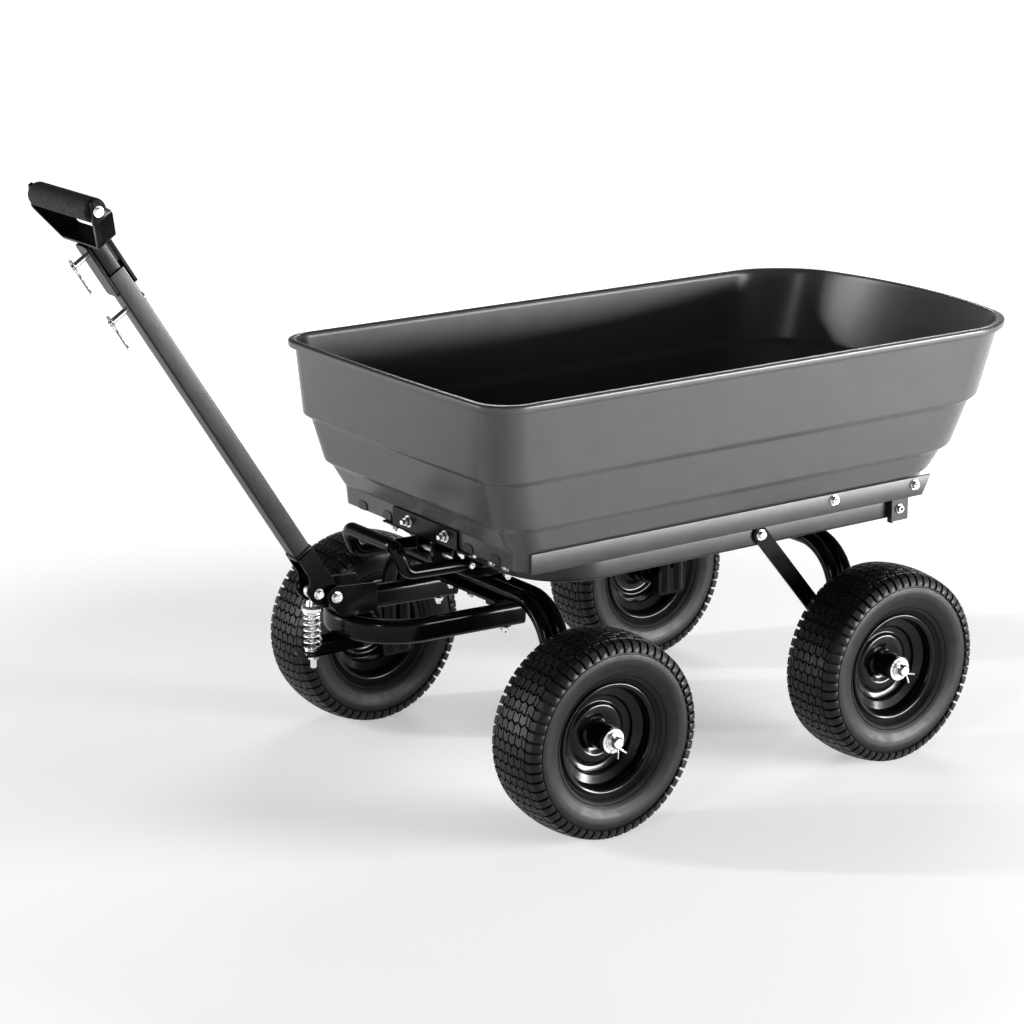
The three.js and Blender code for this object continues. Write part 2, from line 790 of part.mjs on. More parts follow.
function tubGeometry() {
  const rings = SKIN.map((level) => tubRing(level, 0, level.z));
  rings.push(tubRing(LIP, 0, LIP.z), tubRing(LIP, 0, RIM_TOP_Z - 4), tubRing(LIP, 4, RIM_TOP_Z));
  const wallTop = SKIN.at(-1);
  rings.push(tubRing(wallTop, 1, RIM_TOP_Z), tubRing(wallTop, TUB_WALL, RIM_TOP_Z - 5));
  for (const level of [...SKIN].reverse()) {
    const z = level === SKIN[0] ? level.z + TUB_WALL : level.z;
    rings.push(tubRing(level, TUB_WALL, z));
  }
  const count = rings[0].length;
  const vertices = rings.flat().flatMap((p) => [p.x, p.y, p.z]);
  const faces = [];
  for (let i = 0; i < rings.length - 1; i++) {
    for (let k = 0; k < count; k++) {
      const a = i * count + k;
      const b = i * count + ((k + 1) % count);
      faces.push(a, b, b + count, a, b + count, a + count);
    }
  }
  const last = (rings.length - 1) * count;
  for (let k = 1; k < count - 1; k++) {
    faces.push(0, k + 1, k);
    faces.push(last, last + k, last + k + 1);
  }
  const geometry = new THREE.BufferGeometry();
  geometry.setAttribute("position", new THREE.Float32BufferAttribute(vertices, 3));
  geometry.setIndex(faces);
  return geometry;
}

add("tub", tubGeometry(), TUB_PLASTIC);

const SHELF_BOTTOM = RAIL_TOP_Z + 1.3;
const SHELF_TOP = 416 - GAP;
const RAIL_START = -440.6;
const RAIL_SLANT = 18.4; // the rear end of the web leans out with the tub's rear wall
const RAIL_WEB_TOP = 445.8;
const RAIL_END = 366;

for (const [side, s] of SIDES) {
  const face = 258 + GAP;
  const shelf = sideBox(s, RAIL_START, RAIL_END, 226, face + 4, SHELF_BOTTOM, SHELF_TOP);
  const web = outline([
    [RAIL_START, SHELF_BOTTOM],
    [RAIL_END, SHELF_BOTTOM],
    [RAIL_END, RAIL_WEB_TOP],
    [RAIL_START - RAIL_SLANT, RAIL_WEB_TOP],
  ]);
  const ear = sideBox(s, HINGE.x - 20, HINGE.x + 23, RAIL_Y + 1, RAIL_Y + 5, 371, SHELF_TOP);
  const hole = sideRod(s, 6, RAIL_Y - 5, RAIL_Y + 10, [HINGE.x, HINGE.z], 12);
  const angle = join(shelf, sidePlate(s, web, face, face + 4), ear);
  add(`tub_rail_${side}`, cut(angle, hole), GREY_STEEL);
  const boltAt = [HINGE.x, HINGE.z];
  const lugFace = RAIL_INNER_Y - LUG_T;
  const bolt = join(
    sideRod(s, 5.4, lugFace - 10, RAIL_Y + 10, boltAt, 12),
    sideRod(s, 10, RAIL_Y + 5 + GAP, RAIL_Y + 11, boltAt, 12),
    sideRod(s, 9, lugFace - 9, lugFace - GAP, boltAt, 6),
  );
  add(`hinge_bolt_${side}`, bolt, ZINC);
}

// ---- dump release ----
const RELEASE = [356, 384];
const LEG_Y = 73;
const LEG_R = 11;

function frontBracketGeometry() {
  const plate = box(383.4, 388, -92, 92, SHELF_BOTTOM, 446);
  const shelf = box(322, 388, -122, 122, SHELF_BOTTOM, SHELF_TOP);
  const ear = link(RELEASE[0], RELEASE[1], RELEASE[0], 402, 13);
  const ears = SIDES.map(([, s]) => sidePlate(s, ear, 50, 55));
  return cut(join(plate, shelf, ...ears), rod("y", 6, -60, 60, RELEASE, 12));
}

add("tub_front_bracket", frontBracketGeometry(), BLACK_STEEL);
add("release_pivot_rod", rod("y", 5.4, -90, 90, RELEASE, 12), ZINC);
const cam = plateXZ(link(RELEASE[0], RELEASE[1], RELEASE[0] - 4, RELEASE[1] - 6, 18), -5, 5);
add("release_latch_cam", cut(cam, rod("y", 6, -9, 9, RELEASE, 12)), BLACK_STEEL);

function releaseGeometry() {
  const half = LEG_Y;
  const route = [
    [RELEASE[0], half, RELEASE[1]],
    [470, half, 388],
    [487, half, 432],
    [487, -half, 432],
    [470, -half, 388],
    [RELEASE[0], -half, RELEASE[1]],
  ];
  const bar = tube(bentPath(route, 20), roundSection(LEG_R, 8), 46);
  return cut(bar, rod("y", 6, -100, 100, RELEASE, 12));
}

add("release_handle", releaseGeometry(), BLACK_STEEL);

const extent = new THREE.Box3().setFromObject(cart, true);
cart.position.x = -(extent.min.x + extent.max.x) / 2;
const root = new THREE.Group();
root.add(cart);

export default root;
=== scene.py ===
"""Looks of the garden dump cart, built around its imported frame.

Shapes are written in millimetres in the cart's own frame: X = 0 halfway between the axles, +X to the handle,
+Y to the left, Z = 0 on the ground. CART and HANDLE turn them into the frame's metres.
"""

import json
import math

import bmesh
import bpy
from mathutils import Matrix, Vector


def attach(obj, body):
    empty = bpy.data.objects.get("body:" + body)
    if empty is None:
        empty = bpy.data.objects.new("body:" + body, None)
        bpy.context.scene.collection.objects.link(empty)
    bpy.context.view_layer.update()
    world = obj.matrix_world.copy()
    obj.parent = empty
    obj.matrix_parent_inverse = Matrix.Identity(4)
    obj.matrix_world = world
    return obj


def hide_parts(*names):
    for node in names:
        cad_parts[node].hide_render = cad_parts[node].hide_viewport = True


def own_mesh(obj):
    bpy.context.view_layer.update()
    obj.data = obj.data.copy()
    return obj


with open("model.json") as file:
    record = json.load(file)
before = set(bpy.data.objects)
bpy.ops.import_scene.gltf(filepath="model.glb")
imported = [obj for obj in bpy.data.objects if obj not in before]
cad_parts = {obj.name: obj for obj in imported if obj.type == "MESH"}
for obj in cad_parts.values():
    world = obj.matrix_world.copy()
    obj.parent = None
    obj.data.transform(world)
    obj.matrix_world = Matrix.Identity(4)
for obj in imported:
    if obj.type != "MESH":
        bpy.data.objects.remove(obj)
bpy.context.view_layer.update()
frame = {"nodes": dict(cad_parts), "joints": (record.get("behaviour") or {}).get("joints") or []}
JOINTS = {j["name"]: j for j in frame["joints"]}


def joint_at(name):
    return Vector(JOINTS[name]["pos_m"])


# ---- placing ----
MIDDLE = (joint_at("roll_front_left") + joint_at("roll_rear_left")) / 2
CART = Matrix.Translation((MIDDLE.x, 0, 0)) @ Matrix.Scale(0.001, 4)
HANDLE_ANGLE = math.radians(57.4)
HANDLE = (
    Matrix.Translation(joint_at("handle_lower"))
    @ Matrix.Rotation(math.pi / 2 - HANDLE_ANGLE, 4, "Y")
    @ Matrix.Scale(0.001, 4)
)
SIDES = (("left", 1), ("right", -1))


def in_cart(point):
    """A frame point in the cart's millimetres."""
    return CART.inverted() @ Vector(point)


PIVOT = in_cart(joint_at("handle_lower"))
TRUNNION = in_cart(joint_at("spring_rod_swing"))
HINGE = in_cart(joint_at("tub_dump"))
RELEASE = in_cart(joint_at("release_lift"))

# ---- driving dimensions, as in the frame ----
WHEEL_R = 165
TYRE_HALF = 58
AXLE_X = 294.5
TRACK_Y = 330
RAIL_Y = 245
RAIL_W = 25
RAIL_H = 34
RAIL_Z = 377
RAIL_REAR_X = -385
RAIL_FRONT_X = 328
ARCH_R = 12.5
ARCH_DX = 13.6
ARCH_TOP = 340
ARCH_LEG_Y = 230
YOKE_Z = 283
YOKE_H = 38
YOKE_DROP = 8
BRACE_TOP = (-99.5, 397)


# ---- materials ----
def shade(name, base, roughness, metallic=0.0, gloss=0.5, grain=(400, 0.1), mottle=(30, 0.1)):
    """A painted, moulded or plated surface. grain is (scale, bump) of its fine texture, and mottle is
    (scale, share) of the slow change in its colour and roughness."""
    made = bpy.data.materials.new(name)
    made.use_nodes = True
    tree = made.node_tree
    nodes, links = tree.nodes, tree.links
    surface = nodes["Principled BSDF"]
    surface.inputs["Metallic"].default_value = metallic
    surface.inputs["Specular IOR Level"].default_value = gloss
    place = nodes.new("ShaderNodeTexCoord")

    def noise(scale, detail):
        made_noise = nodes.new("ShaderNodeTexNoise")
        made_noise.inputs["Scale"].default_value = scale
        made_noise.inputs["Detail"].default_value = detail
        links.new(place.outputs["Object"], made_noise.inputs["Vector"])
        return made_noise.outputs["Fac"]

    def spread(source, low, high):
        ramp = nodes.new("ShaderNodeMapRange")
        ramp.inputs["From Min"].default_value = 0.3
        ramp.inputs["From Max"].default_value = 0.7
        ramp.inputs["To Min"].default_value = low
        ramp.inputs["To Max"].default_value = high
        links.new(source, ramp.inputs["Value"])
        return ramp.outputs["Result"]

    slow = noise(mottle[0], 5)
    links.new(spread(slow, roughness * (1 - mottle[1]), roughness * (1 + mottle[1])), surface.inputs["Roughness"])
    tint = nodes.new("ShaderNodeMix")
    tint.data_type = "RGBA"
    dark = [c * (1 - mottle[1]) for c in base]
    light = [min(1, c * (1 + mottle[1])) for c in base]
    tint.inputs["A"].default_value = (*dark, 1)
    tint.inputs["B"].default_value = (*light, 1)
    links.new(spread(noise(mottle[0] * 2.7, 8), 0, 1), tint.inputs["Factor"])
    links.new(tint.outputs["Result"], surface.inputs["Base Color"])
    bump = nodes.new("ShaderNodeBump")
    bump.inputs["Strength"].default_value = grain[1]
    bump.inputs["Distance"].default_value = 0.0006
    links.new(noise(grain[0], 3), bump.inputs["Height"])
    links.new(bump.outputs["Normal"], surface.inputs["Normal"])
    return made


TUB_PLASTIC = shade("tub_plastic", (0.048, 0.048, 0.050), 0.25, gloss=0.30, grain=(900, 0.12), mottle=(9, 0.05))
BLACK_PAINT = shade("black_paint", (0.0016, 0.0016, 0.0018), 0.18, gloss=0.12, grain=(260, 0.08), mottle=(40, 0.15))
GREY_PAINT = shade("grey_paint", (0.012, 0.012, 0.013), 0.34, gloss=0.26, grain=(420, 0.12), mottle=(30, 0.12))
# Painted shade: the handle's grey paint is a darker copy of GREY_PAINT, standing for the shade on the handle's upright
# faces, which catch less light than the rails.
SHADED_HANDLE_GREY = shade("handle_grey_painted_shade", (0.006, 0.006, 0.0065), 0.28, gloss=0.24, grain=(420, 0.12), mottle=(30, 0.12))
RIM_PAINT = shade("rim_paint", (0.002, 0.002, 0.0022), 0.16, gloss=0.2, grain=(180, 0.05), mottle=(25, 0.12))
RUBBER = shade("tyre_rubber", (0.0046, 0.0046, 0.0049), 0.42, gloss=0.18, grain=(1500, 0.2), mottle=(60, 0.18))
ZINC = shade("zinc", (0.80, 0.80, 0.80), 0.24, metallic=1.0, grain=(1400, 0.12), mottle=(120, 0.12))
WIRE = shade("zinc_wire", (0.20, 0.20, 0.21), 0.34, metallic=1.0, grain=(1600, 0.1), mottle=(150, 0.15))
FOAM = shade("grip_foam", (0.006, 0.006, 0.0063), 0.8, gloss=0.2, grain=(1800, 0.6), mottle=(200, 0.2))
NYLON = shade("nylon", (0.008, 0.008, 0.009), 0.5, gloss=0.3, grain=(700, 0.15), mottle=(50, 0.1))


# ---- outlines ----
def fillet(points, radius, steps=4, closed=True):
    """The outline with each corner rounded by a small curve that starts radius away from it."""
    out = []
    count = len(points)
    for i, here in enumerate(points):
        if not closed and i in (0, count - 1):
            out.append(tuple(here))
            continue
        before, after = points[i - 1], points[(i + 1) % count]
        here = Vector(here)
        to_before, to_after = Vector(before) - here, Vector(after) - here
        reach = min(radius, to_before.length * 0.45, to_after.length * 0.45)
        start = here + to_before.normalized() * reach
        end = here + to_after.normalized() * reach
        for k in range(steps + 1):
            t = k / steps
            out.append(tuple(start * (1 - t) ** 2 + here * (2 * t * (1 - t)) + end * t * t))
    return out


def circle(radius, sides=24):
    turns = [2 * math.pi * k / sides for k in range(sides)]
    return [(radius * math.cos(a), radius * math.sin(a)) for a in turns]


def rectangle(half_a, half_b, radius=3, steps=4):
    corners = [(half_a, half_b), (-half_a, half_b), (-half_a, -half_b), (half_a, -half_b)]
    return fillet(corners, radius, steps)


def link(x0, z0, x1, z1, radius, steps=14):
    """The outline of a bar with round ends between two centres."""
    along = math.atan2(z1 - z0, x1 - x0)
    out = []
    for cx, cz, start in ((x1, z1, along - math.pi / 2), (x0, z0, along + math.pi / 2)):
        for k in range(steps + 1):
            a = start + math.pi * k / steps
            out.append((cx + radius * math.cos(a), cz + radius * math.sin(a)))
    return out


# ---- solids ----
def grid(bm, rings, closed=True, caps=False):
    """Joins rings of equal length into a skin, and returns the rings' vertices."""
    made = [[bm.verts.new(p) for p in ring] for ring in rings]
    for lower, upper in zip(made, made[1:]):
        count = len(lower)
        for k in range(count if closed else count - 1):
            n = (k + 1) % count
            bm.faces.new((lower[k], lower[n], upper[n], upper[k]))
    if caps:
        bm.faces.new(list(reversed(made[0])))
        bm.faces.new(made[-1])
    return made


def prism(bm, outline, low, high, axes="xz"):
    """An outline drawn in two axes, made thick along the third."""
    order = {"xz": (0, 2, 1), "xy": (0, 1, 2), "yz": (1, 2, 0)}[axes]
    rings = []
    for depth in (low, high):
        ring = []
        for a, b in outline:
            point = [0, 0, 0]
            point[order[0]], point[order[1]], point[order[2]] = a, b, depth
            ring.append(point)
        rings.append(ring)
    grid(bm, rings, caps=True)


def block(bm, x0, x1, y0, y1, z0, z1):
    prism(bm, [(x0, y0), (x1, y0), (x1, y1), (x0, y1)], z0, z1, "xy")


def turned(bm, profile, axis, at, segments=32, start=0.0):
    """A profile of (radius, height) pairs turned about an axis through at. It closes on itself unless it
    starts or ends on the axis."""
    on_axis = profile[0][0] == 0 or profile[-1][0] == 0
    outline = list(profile) if on_axis else [*profile, profile[0]]
    frames = {
        "x": (Vector((0, 1, 0)), Vector((0, 0, 1)), Vector((1, 0, 0))),
        "y": (Vector((0, 0, 1)), Vector((1, 0, 0)), Vector((0, 1, 0))),
        "z": (Vector((1, 0, 0)), Vector((0, 1, 0)), Vector((0, 0, 1))),
    }
    u, v, w = frames[axis]
    at = Vector(at)
    rings = []
    for radius, height in outline:
        ring = []
        for k in range(segments):
            a = start + 2 * math.pi * k / segments
            ring.append(at + u * radius * math.cos(a) + v * radius * math.sin(a) + w * height)
        rings.append(ring)
    grid(bm, rings)


def bent(points, radius, steps=10):
    """A route with its corners rounded to arcs."""
    out = [Vector(points[0])]
    for before, here, after in zip(points, points[1:], points[2:]):
        before, here, after = Vector(before), Vector(here), Vector(after)
        back, on = (before - here).normalized(), (after - here).normalized()
        half_angle = back.angle(on) / 2
        reach = radius / math.tan(half_angle)
        middle = here + (back + on).normalized() * radius / math.sin(half_angle)
        start, end = here + back * reach, here + on * reach
        turn = (start - middle).angle(end - middle)
        axis = (start - middle).cross(end - middle).normalized()
        for k in range(steps + 1):
            out.append(middle + Matrix.Rotation(turn * k / steps, 3, axis) @ (start - middle))
    out.append(Vector(points[-1]))
    return out


def sweep(bm, route, section, side, caps=True):
    """A section carried along a route. side is the direction of the section's first axis at the start."""
    side = Vector(side).normalized()
    rings = []
    for i, here in enumerate(route):
        back = (here - route[i - 1]).normalized() if i else None
        on = (route[i + 1] - here).normalized() if i + 1 < len(route) else back
        tangent = on if back is None else (back + on).normalized()
        side = (side - tangent * side.dot(tangent)).normalized()
        other = tangent.cross(side)
        rings.append([here + side * a + other * b for a, b in section])
    grid(bm, rings, caps=caps)


def washer(bm, inner, outer, low, high, axis, at, segments=32, edge=0.5):
    """A ring with eased outer edges."""
    profile = [(inner, low), (outer - edge, low), (outer, low + edge), (outer, high - edge)]
    profile += [(outer - edge, high), (inner, high)]
    turned(bm, profile, axis, at, segments)


def hexagon(bm, radius, low, high, axis, at, turn=0.0):
    """A hex head or nut with its corners chamfered on the outer face."""
    ease = 0.12 * radius
    profile = [(0, low), (radius * 0.86, low), (radius, low + ease), (radius, high - ease), (radius * 0.86, high)]
    turned(bm, [*profile, (0, high)], axis, at, 6, turn)


def bolt_end(bm, axis, at, out, head, shank, length=4.0):
    """A screw's dome or a nut with the end of its thread: out is +1 or -1 along the axis."""
    washer(bm, 0.5, head * 1.25, *sorted((0, 1.4 * out)), axis, at, 28, 0.4)
    hexagon(bm, head, *sorted((1.4 * out, (1.4 + head * 0.75) * out)), axis, at, 0.3)
    end = (1.4 + head * 0.75 + length) * out
    profile = [(0, 0), (shank, 0), (shank, end - out), (shank - 0.8, end), (0, end)]
    turned(bm, profile if out > 0 else profile[::-1], axis, at, 16)


def piece(name, bm, body, look, replaces=(), matrix=CART, smooth=35, bevel=0.0):
    """Turns a bmesh into a piece that rides on a body and stands for CAD nodes."""
    bmesh.ops.remove_doubles(bm, verts=bm.verts, dist=1e-4)
    bmesh.ops.recalc_face_normals(bm, faces=bm.faces)
    mesh = bpy.data.meshes.new(name)
    bm.to_mesh(mesh)
    bm.free()
    mesh.transform(matrix)
    mesh.materials.append(look)
    for polygon in mesh.polygons:
        polygon.use_smooth = True
    mesh.set_sharp_from_angle(angle=math.radians(smooth))
    made = bpy.data.objects.new(name, mesh)
    bpy.context.scene.collection.objects.link(made)
    if bevel:
        eased = made.modifiers.new("eased", "BEVEL")
        eased.width = bevel * 0.001
        eased.segments = 2
        eased.limit_method = "ANGLE"
        eased.angle_limit = math.radians(smooth)
        eased.harden_normals = True
    if replaces:
        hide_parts(*replaces)
    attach(made, body)
    return made


def dress(node, look, bevel=0.8):
    """A CAD node kept as it is, with eased edges and a finish."""
    kept = frame["nodes"][node]
    kept.data.materials.clear()
    kept.data.materials.append(look)
    weld = kept.modifiers.new("weld", "WELD")
    weld.merge_threshold = 1e-5
    eased = kept.modifiers.new("eased", "BEVEL")
    eased.width = bevel * 0.001
    eased.segments = 2
    eased.limit_method = "ANGLE"
    eased.angle_limit = math.radians(40)


# ---- tub ----
# Levels of the outer skin: height, front X, half width, rear corner X, rear bow, front corner radius.
TUB_LEVELS = [
    (416, 381, 256, -483, 38, 24),
    (446, 383, 258, -487, 38, 24),
    (452, 391, 268, -495, 40, 46),
    (485, 410, 276, -515, 43, 50),
    (493, 420, 285, -526, 45, 54),
    (565, 440, 292, -556, 52, 55),
    (573, 451, 300, -567, 54, 56),
    (684, 458, 308, -598, 64, 56),
]
TUB_LIP = (684, 467, 316, -606, 65, 56)
TUB_TOP = 697
TUB_WALL = 4


def tub_ring(level):
    """One level of the skin as a ring of points: round corners, a bowed rear and a slightly bowed front."""
    z, front, half, rear, bow, front_radius = level
    points = []
    rear_radius = 98

    def corner(x, y, radius, quarter, sx, sy):
        steps = 14
        for k in range(steps + 1):
            a = (quarter + k / steps) * math.pi / 2
            points.append((x - sx * radius + radius * math.cos(a), y - sy * radius + radius * math.sin(a)))

    def edge(a, b, steps):
        for k in range(1, steps):
            t = k / steps
            points.append((a[0] + (b[0] - a[0]) * t, a[1] + (b[1] - a[1]) * t))

    corner(front, half, front_radius, 0, 1, 1)
    edge((front - front_radius, half), (rear + rear_radius, half), 24)
    corner(rear, half, rear_radius, 1, -1, 1)
    edge((rear, half - rear_radius), (rear, rear_radius - half), 20)
    corner(rear, -half, rear_radius, 2, -1, -1)
    edge((rear + rear_radius, -half), (front - front_radius, -half), 24)
    corner(front, -half, front_radius, 3, 1, -1)
    edge((front, front_radius - half), (front, half - front_radius), 20)
    middle = (front + rear) / 2
    front_bow = 8 * max(0, (z - 452) / (TUB_TOP - 452))
    out = []
    for x, y in points:
        share = ((x - middle) / (front - middle)) ** 2 * (1 - (y / half) ** 2)
        out.append((x + (front_bow if x > middle else -bow) * share, y, z))
    return out


def moved_in(level, inset, z=None):
    """A level of the skin moved in by a wall, at its own height or another."""
    height, front, half, rear, bow, radius = level
    return (height if z is None else z, front - inset, half - inset, rear + inset, bow, radius - inset)


def tub_profile():
    """The skin's levels: up the outside, over the rolled lip and down the inside."""
    lip = [moved_in(TUB_LIP, 0.6), moved_in(TUB_LIP, 0, 695.5), moved_in(TUB_LIP, 6, TUB_TOP)]
    top = TUB_LEVELS[-1]
    inside = [moved_in(top, 2, TUB_TOP), moved_in(top, TUB_WALL, 690)]
    inside += [moved_in(level, TUB_WALL) for level in reversed(TUB_LEVELS[1:-1])]
    inside.append(moved_in(TUB_LEVELS[0], TUB_WALL, TUB_LEVELS[0][0] + TUB_WALL))
    return TUB_LEVELS + lip + inside


def smooth_levels(levels, reach):
    """Rounds the corners of the skin's section, reach millimetres each way."""
    out = []
    for i, here in enumerate(levels):
        if i in (0, len(levels) - 1):
            out.append(here)
            continue
        here = [float(v) for v in here]

        def toward(other):
            size = math.hypot(other[0] - here[0], other[2] - here[2])
            share = min(reach / size, 0.45)
            return [a + (b - a) * share for a, b in zip(here, other)]

        start, end = toward(levels[i - 1]), toward(levels[i + 1])
        steps = 4
        for k in range(steps + 1):
            t = k / steps
            out.append([a * (1 - t) ** 2 + b * 2 * t * (1 - t) + c * t * t for a, b, c in zip(start, here, end)])
    return out


def build_tub():
    bm = bmesh.new()
    levels = tub_profile()
    rings = [tub_ring(level) for level in smooth_levels(levels, 3.0)]
    grid(bm, rings, caps=True)
    piece("tub_shell", bm, "tub", TUB_PLASTIC, ["tub"], smooth=40)


# ---- wheels ----
LUGS = 60
RIM_PROFILE = [
    (89, -35.5),
    (84.5, -34),
    (82, -30),
    (82, -18),
    (66, -12),
    (66, 12),
    (82, 18),
    (82, 30),
    (84.5, 34),
    (89, 35.5),
    (90, 38),
    (87, 39.5),
    (81.5, 37),
    (79, 30),
    (79, 20),
    (63, 14),
    (62.5, 8),
    (52, 4),
    (46, 8.5),
    (35, 9),
    (27, 5),
    (21, 3),
    (21, 44),
    (13, 44),
    (13, -44),
    (21, -44),
    (21, 0),
    (27, 2),
    (35, 6),
    (46, 5.5),
    (53, 1),
    (63, 5),
    (63, -14),
    (79, -20),
    (79, -30),
    (81.5, -37),
    (87, -39.5),
    (90, -38),
]


def build_rim():
    bm = bmesh.new()
    turned(bm, fillet(RIM_PROFILE, 2.4, 4), "y", (0, 0, 0), 96)
    # The weld bead where the hub meets the dish.
    turned(bm, fillet([(20, 1), (25, 3.6), (20.5, 7.5)], 1.2, 3), "y", (0, 0, 0), 64)
    return bm


def tread_radius(v):
    """The tread's surface across the tyre, v millimetres from its middle."""
    return WHEEL_R - 1.0 - 0.0024 * v * v


def tyre_point(angle, v, lift):
    """A point of the tread: lift is its height above the tread's surface."""
    radius = tread_radius(v) + lift
    return (radius * math.sin(angle), v, radius * math.cos(angle))


TREAD_DEPTH = 4.6
CARCASS = [
    (85, -33),
    (89, -34),
    (93, -38),
    (99, -45),
    (110, -51.5),
    (122, -55.5),
    (131, -56.6),
    (138, -56.0),
    (144, -54.0),
    (144.6, -53.0),
    (150, -49.0),
    (155.4, -42),
    (158.4, -30),
    (159.6, -15),
    (159.8, 0),
]


def build_carcass(bm):
    outside = CARCASS + [(r, -y) for r, y in reversed(CARCASS[:-1])]
    inside = [(85, 28), (100, 38), (130, 49), (150, 30), (150, -30), (130, -49), (100, -38), (85, -28)]
    turned(bm, fillet(outside + inside, 2.0, 2), "y", (0, 0, 0), 120)
    for s in (1, -1):
        # Fine raised rings on the sidewall.
        for radius, y, size in ((139.5, 55.7, 0.9), (104, 48.4, 0.8), (96.5, 42.6, 0.8)):
            ring = [(radius - size, s * (y - 0.8)), (radius, s * (y + size)), (radius + size, s * (y - 0.8))]
            turned(bm, ring if s > 0 else ring[::-1], "y", (0, 0, 0), 120)


def tread_block(bm, outline):
    """A block of the tread from an outline of (angle, v) pairs, slightly narrower at its top."""
    count = len(outline)
    middle = [sum(p[i] for p in outline) / count for i in (0, 1)]
    rings = []
    for share, lift in ((1.0, -TREAD_DEPTH), (0.97, -0.7), (0.90, 0.0)):
        ring = []
        for angle, v in outline:
            a = middle[0] + (angle - middle[0]) * share
            w = middle[1] + (v - middle[1]) * share
            ring.append(tyre_point(a, w, lift))
        rings.append(ring)
    grid(bm, rings)
    top = [bm.verts.new(p) for p in rings[-1]]
    bm.faces.new(top)


def build_tread(bm):
    pitch = 2 * math.pi / LUGS
    groove = 0.075
    width = 15.4
    bend = 0.16
    columns = 5
    edge = width * columns / 2
    for row in range(LUGS):
        offset = 0.0 if row % 2 else 0.5
        low = (row + groove) * pitch
        high = (row + 1 - groove) * pitch

        def wave(v):
            """The zigzag of the grooves across the tread."""
            phase = (v / width) % 1.0
            return bend * pitch * (1 - abs(2 * phase - 1)) * 2 - bend * pitch

        cuts = sorted({-edge, edge, *[(k + offset) * width for k in range(-3, 4)]})
        cuts = [c for c in cuts if -edge <= c <= edge]
        for v0, v1 in zip(cuts, cuts[1:]):
            if v1 - v0 < 4:
                continue
            a, b = v0 + 0.75, v1 - 0.75
            across = [a, (a + b) / 2, b]
            outline = [(low + wave(v), v) for v in across]
            outline += [(high + wave(v), v) for v in reversed(across)]
            tread_block(bm, outline)
        for s in (1, -1):
            shoulder_lug(bm, (low + high) / 2 + wave(edge), pitch, s, edge)


def shoulder_lug(bm, angle, pitch, s, edge):
    """A lug that wraps from the tread's edge down onto the sidewall."""
    half = 0.37 * pitch
    run = [
        (tread_radius(edge + 1), edge + 1.2),
        (tread_radius(46) - 0.2, 46),
        (157.4, 50.6),
        (151.6, 55.0),
        (146.6, 57.3),
        (142.4, 57.6),
    ]
    inner = [(154.0, edge + 1.2), (153.0, 44), (150.0, 47.5), (147.5, 49.6), (144.0, 51.2), (141.0, 52.6)]
    rings = []
    for (r0, v0), (r1, v1) in zip(run, inner):
        ring = []
        for radius, v, share in ((r1, v1, 1.04), (r0 - 0.4, v0 - 0.1, 1.0), (r0, v0, 0.95)):
            a = angle - half * share
            ring.append((radius * math.sin(a), s * v, radius * math.cos(a)))
        for radius, v, share in ((r0, v0, 0.95), (r0 - 0.4, v0 - 0.1, 1.0), (r1, v1, 1.04)):
            a = angle + half * share
            ring.append((radius * math.sin(a), s * v, radius * math.cos(a)))
        rings.append(ring)
    grid(bm, rings, caps=True)


def build_hub_trim():
    """The nut side of a spindle: washer, the spindle's end with its hole, and a cotter pin."""
    bm = bmesh.new()
    washer(bm, 9.8, 20, 47.0, 49.4, "y", (0, 0, 0), 40, 0.6)
    washer(bm, 9.8, 14.5, 49.4, 52.0, "y", (0, 0, 0), 32, 0.8)
    turned(bm, [(0, 40), (9.3, 40), (9.3, 61.5), (7.8, 63.5), (0, 63.5)], "y", (0, 0, 0), 28)
    # The cotter pin: an eye on one side and two legs, spread, on the other.
    wire = circle(1.5, 8)
    y = 56.5
    eye = [Vector((-10, y, 12.5))]
    for k in range(9):
        a = math.radians(-60 + 300 * k / 8)
        eye.append(Vector((-3.4 * math.sin(a) * 0.8, y, 15.0 - 3.4 * math.cos(a))))
    sweep(bm, eye[1:], wire, (0, 1, 0))
    for lean in (-1, 1):
        leg = [(0.9 * lean, y, 12), (0.9 * lean, y, -10), (4 * lean, y + 1, -17), (9 * lean, y + 3, -24)]
        sweep(bm, bent([Vector(p) for p in leg], 6, 4), wire, (0, 1, 0))
    return bm


def build_wheels():
    tyre_bm = bmesh.new()
    build_carcass(tyre_bm)
    build_tread(tyre_bm)
    parts = {
        "tyre": (tyre_bm, RUBBER, 30, 0),
        "rim": (build_rim(), RIM_PAINT, 40, 0),
        "hub_bearing": (build_hub_trim(), ZINC, 40, 0.35),
    }
    meshes = {}
    for kind, (bm, look, smooth, twist) in parts.items():
        bmesh.ops.recalc_face_normals(bm, faces=bm.faces)
        mesh = bpy.data.meshes.new(kind)
        bm.to_mesh(mesh)
        bm.free()
        mesh.transform(Matrix.Scale(0.001, 4))
        mesh.materials.append(look)
        for polygon in mesh.polygons:
            polygon.use_smooth = True
        mesh.set_sharp_from_angle(angle=math.radians(smooth))
        meshes[kind] = (mesh, look, twist)
    for end in ("front", "rear"):
        for side, s in SIDES:
            corner = f"{end}_{side}"
            at = Matrix.Translation(joint_at(f"roll_{corner}"))
            out = Matrix.Rotation(0 if s > 0 else math.pi, 4, "Z")
            for kind, (mesh, look, twist) in meshes.items():
                made = bpy.data.objects.new(f"{kind}_{corner}_look", mesh)
                bpy.context.scene.collection.objects.link(made)
                turn = 0.45 if end == "rear" else 0.0
                made.matrix_world = at @ out @ Matrix.Rotation(turn + twist, 4, "Y")
                body = f"wheel_{corner}"
                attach(made, body)
                if kind != "hub_bearing":
                    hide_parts(f"{kind}_{corner}")


